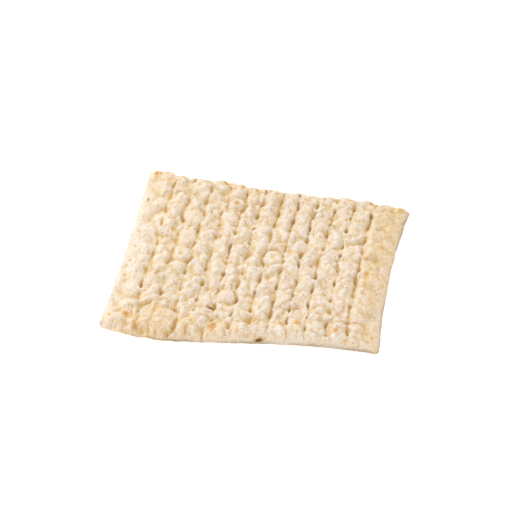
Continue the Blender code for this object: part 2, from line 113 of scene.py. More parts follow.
# The lumps that the ridges rose in, as shares of the ridge's height.
RIDGE_SHARE = 0.28
LUMP_SHARE = 0.55
LUMP_VARIATION = 0.42
LUMP_SCATTER = 0.9
LUMP_SOFTNESS = 0.42  # how soft the creases between lumps are
LUMP_REACH = 0.74  # from a lump's middle to where it ends, in the spacing of the lumps
LUMP_WOBBLE_ACROSS = 0.2
LUMP_WOBBLE_ALONG = 0.3
SMALL_LUMP_HEIGHT = 1.3 * MM
SMALL_LUMPS_TO_PITCH = 2.2
SMALL_LUMP_SCATTER = 0.95

# Large blisters: column, row, radius, height above the underside, depth of the burst crater.
BLISTERS = [
    (4.65, 1.35, 4.3 * MM, 6.9 * MM, 1.8 * MM),
    (2.55, 2.75, 5.2 * MM, 7.2 * MM, 0.0),
    (2.6, 4.1, 5.8 * MM, 6.9 * MM, 0.0),
    (2.5, 5.35, 5.4 * MM, 7.0 * MM, 1.1 * MM),
    (7.45, 4.95, 5.6 * MM, 7.1 * MM, 1.1 * MM),
    (4.45, 2.45, 5.2 * MM, 6.9 * MM, 0.0),
    (8.7, 3.95, 4.6 * MM, 6.9 * MM, 0.0),
    (5.5, 7.75, 5.4 * MM, 6.8 * MM, 0.0),
]
BLISTER_CROWN = 2.4 * MM  # from its top down to its edge
BLISTER_WOBBLE = 0.26
BLISTER_MOAT = 0.8 * MM  # the sheet is drawn down round it
RIMLESS_CRATER = 1.1 * MM  # a deeper crater has a rim, as high as it is deeper than this
BLISTER_SHARE = 0.85  # how far it hides the pattern under it

# At the front left one rose as a block with straight sides: column, row, half its width and half
# its depth.
BLOCK = (2.27, 9.67, 7.7 * MM, 7.2 * MM)
BLOCK_HEIGHT = 6.6 * MM
BLOCK_MOAT = 2.0 * MM
BLOCK_CREASE = 0.3 * MM  # down its top, a little left of its middle

# Where the skin split: column, row, half its length, half its width.
SPLITS = [
    (7.65, 10.68, 2.5 * MM, 0.8 * MM),
    (4.85, 8.65, 1.9 * MM, 0.8 * MM),
    (11.05, 2.55, 0.6 * MM, 0.5 * MM),
]
SPLIT_DEPTH = 1.3 * MM

# The fine relief: creases where the ridges meet, wrinkles, gas pores, grain, and the grooves that
# run down the front slope.
CREASE_DEPTH = 0.5 * MM
CREASE_HALF_WIDTH = 0.5 * MM
WRINKLE_HEIGHT = 0.62 * MM
WRINKLES_TO_PITCH = 2.9
PORE_DEPTH = 0.28 * MM
PORE_RADIUS = 0.32 * MM
PORES_TO_PITCH = 4.5
PORE_SHARE = 0.22  # how many of the places for a pore have one
GRAIN_HEIGHT = 0.17 * MM
GRAINS_TO_PITCH = 11.0
GROOVE_DEPTH = 1.7 * MM
GROOVES_TO_PITCH = 2.3
# The line along the bottom edge is painted shade under the edge.
BOTTOM_SHADE_LINE = 0.6 * MM  # how far up the front and the right the brown line reaches
DIMPLE_DEPTH = 0.22 * MM  # underneath, where the sheet lifted off the oven band
SPECK_RAGGEDNESS = 1.2 * MM  # how far the outline of a bran speck wanders

# Where the crests browned: column, row, radius in millimetres, how brown. The spots are longer
# along the columns.
SPOT_STRETCH = 1.4
TOASTED = [
    (-0.05, -0.15, 1.1, 0.9),
    (0.12, -0.3, 1.0, 0.7),
    (0.45, -0.3, 1.2, 0.8),
    (0.85, -0.3, 1.2, 0.6),
    (1.25, -0.2, 1.1, 0.5),
    (2.6, -0.25, 1.6, 0.35),
    (3.75, -0.15, 1.1, 1.0),
    (4.7, -0.15, 1.2, 0.85),
    (5.5, -0.05, 0.6, 0.9),
    (8.5, 0.0, 1.1, 0.35),
    (9.0, -0.05, 1.0, 0.3),
    (10.75, -0.1, 1.3, 0.5),
    (4.65, 1.35, 0.9, 0.6),
    (11.75, -0.08, 0.9, 0.9),
    (12.0, -0.08, 0.8, 0.7),
    (13.15, -0.05, 1.4, 0.6),
    (10.8, 1.75, 0.9, 0.8),
    (12.26, 4.5, 0.9, 0.9),
    (12.45, 5.5, 1.6, 0.6),
    (12.45, 6.3, 1.5, 0.5),
    (10.0, 5.1, 0.9, 0.4),
    (9.58, 9.68, 1.6, 0.8),
    (8.65, 9.75, 1.4, 0.7),
    (11.42, 10.1, 1.2, 0.9),
    (7.26, 9.42, 1.3, 0.75),
    (6.8, 9.55, 1.2, 0.65),
    (6.4, 10.35, 1.3, 0.45),
    (5.25, 10.03, 2.0, 1.0),
    (3.4, 9.8, 1.6, 0.5),
    (4.0, 9.75, 1.4, 0.45),
    (2.0, 9.2, 1.8, 0.4),
    (0.7, 9.65, 1.2, 0.85),
    (0.95, 9.75, 2.0, 0.35),
    (1.4, 10.3, 1.5, 0.45),
    (13.15, 10.0, 1.3, 0.6),
    (13.4, 10.6, 1.5, 0.35),
    (12.9, 2.6, 1.2, 0.4),
    (12.8, 3.6, 1.6, 0.4),
    (13.0, 7.4, 1.4, 0.35),
    (1.49, 10.27, 0.8, 0.6),
    (-0.03, 9.88, 0.7, 0.6),
]

LINES_ACROSS = 22  # grid lines to a pitch on top
LINES_ALONG = 23
LINES_TO_UNDER = 3  # of which the underside keeps one in so many
EDGE_LINES = 6  # crowded within this much of an edge, in pitches
EDGE_CROWD = 0.1
CROWDING = 1.6  # 1 would space them evenly
RIM_RINGS = 4
HOLLOW_STEPS = {"small_hollow": 3, "hollow": 20}  # grid lines that the average reaches
SEED = 7
NOISE_STRETCH = 2.5  # the noise keeps near its middle, so it is stretched to about -1 to 1


def math_node(operation, turned=False):
    """A sum of a field and another value, or turned round, of another value and a field."""

    def result(self, other):
        values = (other, self) if turned else (self, other)
        return calculate(self.tree, operation, *values)

    return result


class Field:
    """A number that varies over a surface, so that a formula of it can be written out in nodes."""

    def __init__(self, tree, socket):
        self.tree = tree
        self.socket = socket

    def __abs__(self):
        return calculate(self.tree, "ABSOLUTE", self)

    __add__ = math_node("ADD")
    __radd__ = math_node("ADD", turned=True)
    __sub__ = math_node("SUBTRACT")
    __rsub__ = math_node("SUBTRACT", turned=True)
    __mul__ = math_node("MULTIPLY")
    __rmul__ = math_node("MULTIPLY", turned=True)
    __truediv__ = math_node("DIVIDE")
    __rtruediv__ = math_node("DIVIDE", turned=True)
    __pow__ = math_node("POWER")


def feed(node, inputs):
    """Feeds a node's inputs, by name or number, with fields, outputs or plain values."""
    for name, value in inputs.items():
        if isinstance(value, Field):
            value = value.socket
        if isinstance(value, bpy.types.NodeSocket):
            node.id_data.links.new(value, node.inputs[name])
        else:
            node.inputs[name].default_value = value


def add_node(tree, kind, inputs, **settings):
    """A new node with these inputs and settings."""
    node = tree.nodes.new(kind)
    for name, value in settings.items():
        setattr(node, name, value)
    feed(node, inputs)
    return node


def calculate(tree, operation, *values):
    """The result of one Math node."""
    node = add_node(tree, "ShaderNodeMath", dict(enumerate(values)), operation=operation)
    return Field(tree, node.outputs[0])


def floor(field):
    return calculate(field.tree, "FLOOR", field)


def root(field):
    return calculate(field.tree, "SQRT", field)


def smaller(field, other):
    return calculate(field.tree, "MINIMUM", field, other)


def larger(field, other):
    return calculate(field.tree, "MAXIMUM", field, other)


def bell(distance_squared):
    """1 at distance 0, falling away on all sides."""
    return calculate(distance_squared.tree, "EXPONENT", distance_squared * -1.0)


def ramp(field, start, end):
    """0 before start, 1 after end, and a smooth rise between."""
    share = smaller(larger((field - start) / (end - start), 0.0), 1.0)
    return share * share * (3.0 - 2.0 * share)


def point(tree, x, y, z):
    """A vector made of three fields or numbers."""
    return add_node(tree, "ShaderNodeCombineXYZ", {"X": x, "Y": y, "Z": z}).outputs[0]


def parts_of(tree, vector):
    """The three fields that a vector is made of."""
    node = add_node(tree, "ShaderNodeSeparateXYZ", {"Vector": vector})
    return [Field(tree, socket) for socket in node.outputs]


def position(tree):
    """The three coordinates of each point, in Geometry Nodes."""
    return parts_of(tree, add_node(tree, "GeometryNodeInputPosition", {}).outputs[0])


def chance(x, y, salt):
    """A random number from 0 to 1 for each whole pair x, y. Each use of chance, waves and lumps has
    a salt of its own."""
    place = point(y.tree, x, y, SEED + salt)
    node = add_node(y.tree, "ShaderNodeTexWhiteNoise", {"Vector": place})
    return Field(y.tree, node.outputs["Value"])


def waves(x, y, salt, detail=1.0):
    """Smooth noise between about -1 and 1, one swell to a unit of x and y."""
    place = point(y.tree, x, y, 3.7 * (SEED + salt))
    inputs = {"Vector": place, "Scale": 1.0, "Detail": detail}
    node = add_node(y.tree, "ShaderNodeTexNoise", inputs)
    return (Field(y.tree, node.outputs[0]) - 0.5) * NOISE_STRETCH


def ripples(column, row, to_pitch, salt, detail=1.0):
    """Waves over the sheet, with the same number of swells to a pitch both ways."""
    return waves(to_pitch * column, to_pitch * row, salt, detail)


def lumps(x, y, salt, randomness, feature="SMOOTH_F1"):
    """Distance to the middle of the nearest lump, about one to a unit square, and a random number
    for each lump."""
    tree = y.tree
    shift = 20.0 * (SEED + salt) - 0.5 * randomness
    place = point(tree, x + shift, y + shift, 0.0)
    inputs = {"Vector": place, "Scale": 1.0, "Randomness": randomness}
    if feature == "SMOOTH_F1":
        inputs["Smoothness"] = LUMP_SOFTNESS
    settings = {"voronoi_dimensions": "2D", "feature": feature}
    node = add_node(tree, "ShaderNodeTexVoronoi", inputs, **settings)
    return Field(tree, node.outputs["Distance"]), parts_of(tree, node.outputs["Color"])[0]


def rounded(distance, fullness=2.0):
    """1 on top of a lump and 0 between lumps, flatter on top the fuller it is."""
    return larger(1.0 - (distance / LUMP_REACH) ** fullness, 0.0)


def lattice(s, t):
    """Column and row numbers of a place on the sheet."""
    columns_wide = COLUMNS - 1 + LEFT_MARGIN + RIGHT_MARGIN
    rows_deep = ROWS - 1 + BACK_MARGIN + FRONT_MARGIN
    column = (s + 1.0) * (0.5 * columns_wide) - LEFT_MARGIN
    row = (1.0 - t) * (0.5 * rows_deep) - BACK_MARGIN
    return column, row


def plan(s, t):
    """Where a place on the sheet lies, seen from above, before the corners are rounded."""
    left = -HALF_LENGTH + LEFT_HOLLOW * (1.0 - t * t)
    right = HALF_LENGTH - RIGHT_HOLLOW * (1.0 - t * t) + RIGHT_LEAN * t
    front = -HALF_DEPTH + FRONT_SWING * s - FRONT_SWING_BACK * s * s * s
    back = HALF_DEPTH - BACK_LEAN * s - BACK_HOLLOW * (1.0 - s * s)
    along_length = s + SIDE_STRETCH * (s * s * s - s)
    along_depth = t - END_SHRINK * (t * t * t - t)
    x = (left + right) * 0.5 + along_length * (right - left) * 0.5
    y = (front + back) * 0.5 + along_depth * (back - front) * 0.5
    return x - MIDDLE_X, y - MIDDLE_Y


def corner_pull(s, t):
    """How far the four square corners are drawn in to make them round, along x and along y."""
    inside_x = HALF_LENGTH * (1.0 - abs(s))
    inside_y = HALF_DEPTH * (1.0 - abs(t))
    share_x = larger(1.0 - inside_x / CORNER_RADIUS, 0.0)
    share_y = larger(1.0 - inside_y / CORNER_RADIUS, 0.0)
    round_x = 1.0 - root(1.0 - 0.5 * share_y * share_y)
    round_y = 1.0 - root(1.0 - 0.5 * share_x * share_x)
    pull_x = CORNER_RADIUS * share_x * round_x * calculate(s.tree, "SIGN", s)
    pull_y = CORNER_RADIUS * share_y * round_y * calculate(t.tree, "SIGN", t)
    return pull_x, pull_y


def row_past_step(nearest_column, row):
    """Row number counted along one pin column: every other column is half a row out of step."""
    return row - 0.5 * calculate(row.tree, "FLOORED_MODULO", nearest_column, 2.0)


def crossing_lumps(column, row, uneven):
    """1 on top of a lump that rose across the seams, more of them where the sheet is uneven."""
    across = CROSSING_LUMPS_TO_PITCH * column
    along = CROSSING_LUMPS_TO_PITCH * row
    distance, own = lumps(across, along, 21, 1.0)
    there = 1.0 - ramp(own, CROSSING_SHARE, CROSSING_SHARE + 0.15)
    inner = ramp(column, 0.6, 1.6)
    return ramp(rounded(distance), 0.05, 0.8) * there * inner * (0.6 + 0.4 * uneven)


def ridges(column, row, crest, seam):
    """Height of the docked sheet away from its edges, and how much of it is crease."""
    nearest_column = floor(column + 0.5)
    across = abs(column - nearest_column)
    along = row_past_step(nearest_column, row)
    uneven = 1.0 - ramp(column, UNEVEN_UNTIL, EVEN_FROM)
    flat = ramp(column, FLAT_FROM, FLAT_FULLY)

    # The seam between two ridges is deepest at the pins. There is none along the outer pin columns,
    # and hardly any on the front slope.
    between_pins = calculate(column.tree, "SINE", abs(along) * math.pi) ** 2.0
    luck = chance(nearest_column, floor(along), 1)
    closing = SEAM_CLOSING_LEAST + (SEAM_CLOSING_MOST - SEAM_CLOSING_LEAST) * luck * luck
    closing = closing + UNEVEN_SEAM_CLOSING * uneven + EVEN_SEAM_CLOSING * flat
    seam_share = 1.0 - between_pins * smaller(closing, 1.0)
    outer = ramp(column, COLUMNS - 1.5, COLUMNS - 1.0) + 1.0 - ramp(column, 0.1, 0.8)
    outer = larger(outer, ramp(row, ROWS - 2.0, ROWS - 1.5) * (1.0 - ramp(column, 4.0, 5.0)))
    outer = larger(outer, 0.5 * ramp(row, ROWS - 0.9, ROWS - 0.4))
    crossing = crossing_lumps(column, row, uneven)
    seam_share = seam_share * (1.0 - outer) * (1.0 - 0.85 * crossing) * (1.0 - 0.2 * flat)
    sharpness = SEAM_SHARPNESS + (EVEN_SEAM_SHARPNESS - SEAM_SHARPNESS) * flat
    arch = 1.0 - seam_share * (1.0 - 2.0 * across) ** sharpness

    # Each ridge rose in lumps of its own, about as long as the rows are apart.
    lump_x = column - 0.5 + LUMP_WOBBLE_ACROSS * ripples(column, row, 0.8, 2)
    lump_y = row + LUMP_WOBBLE_ALONG * ripples(column, row, 0.8, 3)
    distance, own = lumps(lump_x, lump_y, 4, LUMP_SCATTER)
    lump_share = LUMP_SHARE + UNEVEN_LUMPS * uneven - EVEN_LUMPS * flat + LUMP_VARIATION * own
    lump = rounded(distance, 2.0 + 1.4 * flat)
    puff = arch * (RIDGE_SHARE - UNEVEN_LUMPS * uneven + EVEN_LUMPS * flat + lump * lump_share)
    height = seam + (crest - seam) * puff

    beside = across * (PITCH_ACROSS / CREASE_HALF_WIDTH)
    crease = bell(beside * beside) * (0.15 + 0.85 * seam_share) * (1.0 - outer)
    swell = SHEET_SWELL * ripples(column, row, 0.3, 5)
    return height + swell + CROSSING_HEIGHT * crossing, crease


def offsets(column, row, centre, half_width, half_length):
    """How far a place lies from a centre, given by its column and row: across the columns in half
    widths, and along them in half lengths."""
    off_x = (column - centre[0]) * (PITCH_ACROSS / half_width)
    off_y = (row - centre[1]) * (PITCH_ALONG / half_length)
    return off_x, off_y


def raise_blister(column, row, height, blistered, blister):
    """The sheet with one large blister puffed up out of it, and how much of it is blister."""
    *centre, radius, top, crater = blister
    off_x, off_y = offsets(column, row, centre, radius, radius)
    wobble = 1.0 + BLISTER_WOBBLE * ripples(column, row, 1.1, 8)
    distance = root(off_x * off_x + off_y * off_y) * wobble
    dome = top - BLISTER_CROWN * distance ** 2.4
    if crater:
        beside_rim = (distance - 0.5) * 6.0
        rim = max(crater - RIMLESS_CRATER, 0.0)
        dome = dome - crater * bell(distance * distance * 9.0) + rim * bell(beside_rim * beside_rim)
    beside = (distance - 1.05) * 6.0
    height = height - BLISTER_MOAT * bell(beside * beside)
    inside = 1.0 - ramp(distance, 0.76, 1.03)
    return height + (dome - height) * inside * BLISTER_SHARE, larger(inside, blistered)


def raise_block(column, row, height):
    """The sheet with the block puffed up at its front left, and how much of it is block."""
    *centre, half_width, half_depth = BLOCK
    off_x, off_y = offsets(column, row, centre, half_width, half_depth)
    off_x = abs(off_x)
    wobble = 1.0 + 0.16 * ripples(column, row, 1.6, 28, 2.0)
    distance = (off_x ** 4.0 + abs(off_y) ** 4.0) ** 0.25 * wobble
    folds = 0.6 * MM * waves(3.0 * column, 1.2 * row, 29, 2.0)
    from_crease = (column - centre[0] + 0.22) * 12.0 + 1.5 * waves(1.0, row, 30)
    top = BLOCK_HEIGHT - 1.2 * MM * distance * distance + folds
    top = top - BLOCK_CREASE * bell(from_crease * from_crease)
    beside = (distance - 1.12) * 6.5
    height = height - BLOCK_MOAT * bell(beside * beside) * (0.2 + 0.8 * ramp(off_x, 0.4, 0.9))
    inside = 1.0 - ramp(distance, 0.88, 1.02)
    return height + (top - height) * inside * BLISTER_SHARE, inside


def small_swellings(column, row):
    """The smaller lumps on the large ones."""
    across = SMALL_LUMPS_TO_PITCH * column
    along = SMALL_LUMPS_TO_PITCH * row
    distance, own = lumps(across, along, 11, SMALL_LUMP_SCATTER)
    ripple = 0.35 * ripples(column, row, 2.4, 6)
    uneven = 1.0 - ramp(column, UNEVEN_UNTIL, EVEN_FROM)
    knobbly = SMALL_LUMP_HEIGHT * (0.25 + 0.65 * ramp(column, 0.5, 1.4) + 0.1 * uneven)
    knobbly = knobbly * (1.0 - 0.6 * ramp(column, COLUMNS - 1.6, COLUMNS - 1.0))
    return knobbly * (rounded(distance) * (0.4 + own) - 0.5 + ripple)


def pin_pits(column, row, blistered):
    """1 at the bottom of the pits that the pins left, longer along the columns than across."""
    nearest_column = floor(column + 0.5)
    along = row_past_step(nearest_column, row)
    nearest_row = floor(along + 0.5)
    width_luck, length_luck, shift_luck, depth_luck = (
        chance(nearest_column, nearest_row, salt) for salt in (24, 25, 26, 12)
    )
    shift = PIT_SHIFT * (shift_luck - 0.5)
    small = 1.0 - 0.3 * (1.0 - ramp(column, 0.3, 0.7)) - 0.15 * ramp(column, 5.0, 8.0)
    half_width = PIT_HALF_WIDTH * (0.75 + 0.5 * width_luck) * small
    half_length = PIT_HALF_LENGTH * (0.6 + 0.9 * length_luck) * small
    off_x = (column - nearest_column) * PITCH_ACROSS / half_width
    off_y = (along - nearest_row - shift) * PITCH_ALONG / half_length
    depth = 1.0 - PIT_CLOSING * depth_luck
    depth = depth * (0.65 + 0.35 * ramp(column, 3.0, 6.0))
    depth = depth * (1.0 - 0.8 * ramp(column, COLUMNS - 1.6, COLUMNS - 1.2))
    depth = depth * (1.0 - 0.8 * ramp(row, ROWS - 0.9, ROWS - 0.7))
    return bell(off_x * off_x + off_y * off_y) * depth * (1.0 - 0.8 * blistered)


def edge_share(s, t, column, row):
    """0 at the edge of the sheet, 1 where it has its full thickness."""
    uneven = 1.0 + SIDE_UNEVENNESS * ripples(column, row, 1.2, 20)
    sides = {
        "left": (1.0 + s) * HALF_LENGTH,
        "right": (1.0 - s) * HALF_LENGTH,
        "front": (1.0 + t) * HALF_DEPTH * (1.0 + FRONT_STEEPENING * ramp(column, 3.0, 6.0)),
        "back": (1.0 - t) * HALF_DEPTH,
    }
    share = 1.0
    for side, inside in sides.items():
        short = 1.0 - smaller(inside / SIDE_SLOPE[side] * uneven, 1.0)
        share = (1.0 - short ** 2.2) ** (1.0 / SIDE_FULLNESS[side]) * share
    return share


def skin_splits(column, row):
    """1 in the places where the skin split."""
    splits = 0.0
    for *centre, half_length, half_width in SPLITS:
        off_x, off_y = offsets(column, row, centre, half_length, half_width)
        off_y = off_y + 0.3 * ripples(column, row, 3.0, 27)
        splits = larger(bell(off_x * off_x + off_y * off_y), splits)
    return splits


def gas_pores(column, row):
    """1 in the small holes that gas left as it broke through the skin."""
    distance, own = lumps(PORES_TO_PITCH * column, PORES_TO_PITCH * row, 14, 1.0, "F1")
    away = distance * (PITCH_ACROSS / PORES_TO_PITCH / PORE_RADIUS)
    return bell(away * away) * (1.0 - ramp(own, PORE_SHARE, PORE_SHARE + 0.05))


def fine_relief(column, row, front, pores):
    """The height of wrinkles, pores, grain and the grooves down the front slope."""
    wrinkles = abs(ripples(column, row, WRINKLES_TO_PITCH, 13, 2.0)) - 0.3
    grain = ripples(column, row, GRAINS_TO_PITCH, 15)
    relief = WRINKLE_HEIGHT * wrinkles + GRAIN_HEIGHT * grain - PORE_DEPTH * pores
    from_groove = abs(waves(GROOVES_TO_PITCH * column, 0.35 * row, 16, 2.0))
    groove = 1.0 - smaller(from_groove * 2.5, 1.0)
    deeper_left = 0.4 + 0.6 * (1.0 - ramp(column, 5.0, 7.0))
    return relief - GROOVE_DEPTH * groove * groove * front * deeper_left


def toasting(column, row):
    """How brown the crust is in the spots that browned, 0 to 1."""
    ragged = 1.0 + 0.5 * ripples(column, row, 8.0, 17, 3.0)
    toast = 0.0
    for *centre, radius, how_brown in TOASTED:
        off_x, off_y = offsets(column, row, centre, radius * MM, radius * MM * SPOT_STRETCH)
        away = (off_x * off_x + off_y * off_y) * ragged * ragged
        spot = how_brown * (0.9 * bell(away) + 0.25 * bell(away * 0.2))
        toast = larger(spot, toast)
    return toast


def store(tree, geometry, name, value, domain="POINT"):
    """Keeps a field on the mesh as a named attribute, for the material."""
    inputs = {"Geometry": geometry, "Name": name, "Value": value}
    node = add_node(tree, "GeometryNodeStoreNamedAttribute", inputs, domain=domain)
    return node.outputs["Geometry"]


def add_socket(tree, direction, kind, name):
    """Gives a tree a named input or output."""
    tree.interface.new_socket(name, in_out=direction, socket_type="NodeSocket" + kind)


def new_tree(name, sizes):
    """A Geometry Nodes tree with named inputs: it, its input node, and a field for each size."""
    tree = bpy.data.node_groups.new(name, "GeometryNodeTree")
    add_socket(tree, "INPUT", "Geometry", "Geometry")
    for size in sizes:
        add_socket(tree, "INPUT", "Float", size)
    add_socket(tree, "INPUT", "Material", "Material")
    add_socket(tree, "OUTPUT", "Geometry", "Geometry")
    group_in = tree.nodes.new("NodeGroupInput")
    fields = [Field(tree, group_in.outputs[size]) for size in sizes]
    return tree, group_in, fields


def end_tree(tree, group_in, geometry):
    """Ends a tree in Realize Instances and Set Material."""
    realize = add_node(tree, "GeometryNodeRealizeInstances", {"Geometry": geometry})
    inputs = {"Geometry": realize.outputs[0], "Material": group_in.outputs["Material"]}
    paint = add_node(tree, "GeometryNodeSetMaterial", inputs)
    add_node(tree, "NodeGroupOutput", {"Geometry": paint.outputs[0]})


def new_object(name, data):
    """An object in the scene, at the origin."""
    made = bpy.data.objects.new(name, data)
    bpy.context.scene.collection.objects.link(made)
    return made


def grow(name, mesh, tree, inputs):
    """Runs a tree on a mesh, with its inputs by name, and returns a plain mesh object."""
    seedling = new_object(name + " blank", mesh)
    modifier = seedling.modifiers.new(tree.name, "NODES")
    modifier.node_group = tree
    for socket in tree.interface.items_tree:
        if socket.in_out == "INPUT" and socket.name in inputs:
            modifier[socket.identifier] = inputs[socket.name]
    graph = bpy.context.evaluated_depsgraph_get()
    grown = bpy.data.meshes.new_from_object(seedling.evaluated_get(graph))
    grown.name = name
    bpy.data.objects.remove(seedling)
    return new_object(name, grown)


def add_hollows(tree, geometry):
    """Keeps how steep each place is, and how far it lies below the average round it, at two sizes,
    in millimetres."""
    z = position(tree)[2]
    for name, steps in HOLLOW_STEPS.items():
        blur = add_node(tree, "GeometryNodeBlurAttribute", {"Value": z, "Iterations": steps})
        geometry = store(tree, geometry, name, (Field(tree, blur.outputs["Value"]) - z) / MM)
    up = parts_of(tree, add_node(tree, "GeometryNodeInputNormal", {}).outputs[0])[2]
    return store(tree, geometry, "steepness", 1.0 - up)


def docked_sheet_tree():
    """Lifts, docks and puffs a flat blank, whose points hold s, t and a level: 1 on top, 0 on the
    underside, and between them round the rim."""
    sizes = ("Crest height", "Seam height", "Pit floor", "Edge height")
    tree, group_in, (crest, seam, pit_floor, edge_height) = new_tree("docked sheet", sizes)
    s, t, level = position(tree)
    column, row = lattice(s, t)
    on_top = floor(level + 0.001)
    underneath = 1.0 - calculate(tree, "CEIL", level - 0.001)

    # The same relief as the solid's, then the finer relief on top of it.
    share = edge_share(s, t, column, row)
    height, crease = ridges(column, row, crest, seam)
    blistered = 0.0
    for blister in BLISTERS:
        height, blistered = raise_blister(column, row, height, blistered, blister)
    height, blocked = raise_block(column, row, height)
    blistered = larger(blistered, blocked)
    height = height - LEFT_BAND_DROP * (1.0 - ramp(column, 0.2, 1.6))
    swellings = small_swellings(column, row) * (1.0 - 0.6 * blistered)
    pits = pin_pits(column, row, blistered)
    height = height + swellings
    puffed = larger(smaller((height - seam) / (crest - seam), 1.0), 0.0)
    height = height + (pit_floor - height) * pits
    pores = gas_pores(column, row)
    splits = skin_splits(column, row)
    front = (1.0 - ramp((1.0 + t) * HALF_DEPTH, 1.5 * MM, SIDE_SLOPE["front"])) * on_top
    front = front * (1.0 - 0.8 * blocked)
    crease = crease * (1.0 - blistered) * (1.0 - 0.8 * front)
    fine = fine_relief(column, row, front, pores) - CREASE_DEPTH * crease
    top = edge_height + (height - edge_height) * share + 2.0 * swellings * (share - share * share)
    top = top + fine * (0.3 + 0.7 * root(share)) - SPLIT_DEPTH * splits

    # The rim rolls under in a quarter ellipse.
    tuck = 1.0 - root(1.0 - (1.0 - level) * (1.0 - level))
    tucked_s = s * (1.0 - tuck * (RIM_TUCK / HALF_LENGTH))
    tucked_t = t * (1.0 - tuck * (RIM_TUCK / HALF_DEPTH))
    x, y = plan(tucked_s, tucked_t)
    pull_x, pull_y = corner_pull(s, t)
    wander_x = PIN_WANDER * ripples(column, row, 0.55, 9, 2.0)
    wander_y = PIN_WANDER * ripples(column, row, 0.55, 10, 2.0)
    meander = SEAM_MEANDER * ripples(column, row, 1.2, 19)
    x = x - pull_x + (wander_x + meander) * share * on_top
    y = y - pull_y + wander_y * share * on_top
    x = x + EDGE_WOBBLE * waves(0.4 * column, 1.2 * row, 22) * s ** 9.0
    y = y + EDGE_WOBBLE * waves(1.2 * column, 0.4 * row, 23) * t ** 9.0

    # The lifted corner, and underneath the dimples.
    corner_x = (1.0 + s) * (HALF_LENGTH / LIFTED_REACH)
    corner_y = (1.0 + t) * (HALF_DEPTH / LIFTED_REACH)
    corner = larger(1.0 - root(corner_x * corner_x + corner_y * corner_y), 0.0)
    dimples = DIMPLE_DEPTH * (0.5 + 0.5 * ripples(column, row, 1.3, 18, 2.0))
    z = top * level + LIFTED_CORNER * corner * corner
    z = z + larger(dimples, 0.0) * underneath * ramp(share, 0.3, 0.9)

    # What the material needs to know is kept first, while the points still hold s, t and level.
    # A thin line along the bottom of the front and the right edges, where the material paints
    # shade.
    from_front = (1.0 + t) * (HALF_DEPTH / BOTTOM_SHADE_LINE)
    from_right = (1.0 - s) * (HALF_LENGTH / BOTTOM_SHADE_LINE)
    bottom_shade_line = larger(bell(from_front * from_front), bell(from_right * from_right))
    geometry = group_in.outputs["Geometry"]
    for name, value in {
        "puffed": puffed * on_top,
        "pit": pits * on_top,
        "crease": crease * on_top * share,
        "pore": pores * on_top,
        "split": splits * on_top,
        "toast": toasting(column, row),
        "inner": share * level,
        "underneath": underneath,
        # The lower rim, where the material paints shade.
        "rim": larger(1.0 - ramp(level, 0.7, 1.0), bottom_shade_line) * (1.0 - underneath),
        "column": column,
        "row": row,
    }.items():
        geometry = store(tree, geometry, name, value)
    inputs = {"Geometry": geometry, "Position": point(tree, x, y, z)}
    place = add_node(tree, "GeometryNodeSetPosition", inputs)
    end_tree(tree, group_in, add_hollows(tree, place.outputs["Geometry"]))
    return tree


def grid_lines(pins, before, after, lines_to_pitch):
    """Lattice coordinates of the grid lines one way: close together at both edges, even between."""
    first = -before
    last = pins - 1 + after
    start = math.ceil((first + EDGE_CROWD) * lines_to_pitch)
    stop = math.floor((last - EDGE_CROWD) * lines_to_pitch)
    inner = [line / lines_to_pitch for line in range(start, stop + 1)]
    crowd = [EDGE_CROWD * (line / EDGE_LINES) ** CROWDING for line in range(EDGE_LINES)]
    return [first + gap for gap in crowd] + inner + [last - gap for gap in reversed(crowd)]


def shares(lines):
    """The same lines from -1 at the first to 1 at the last."""
    return [2.0 * (line - lines[0]) / (lines[-1] - lines[0]) - 1.0 for line in lines]


def every(count, lines_to_one):
    """Indexes of the lines that the underside keeps: the first, the last, and one in several."""
    kept = list(range(0, count - lines_to_one // 2 - 1, lines_to_one))
    return kept + [count - 1]


def edge_loop(wide, deep):
    """(row, column) of the places round the edge of a grid, counter-clockwise seen from above."""
    loop = [(deep - 1, i) for i in range(wide - 1)]
    loop += [(j, wide - 1) for j in range(deep - 1, 0, -1)]
    loop += [(0, i) for i in range(wide - 1, 0, -1)]
    loop += [(j, 0) for j in range(deep - 1)]
    return loop


def grid_faces(first, wide, deep):
    """The faces of a grid whose points are numbered row by row, seen from above."""
    corners = [first + j * wide + i for j in range(deep - 1) for i in range(wide - 1)]
    return [(corner, corner + wide, corner + wide + 1, corner + 1) for corner in corners]


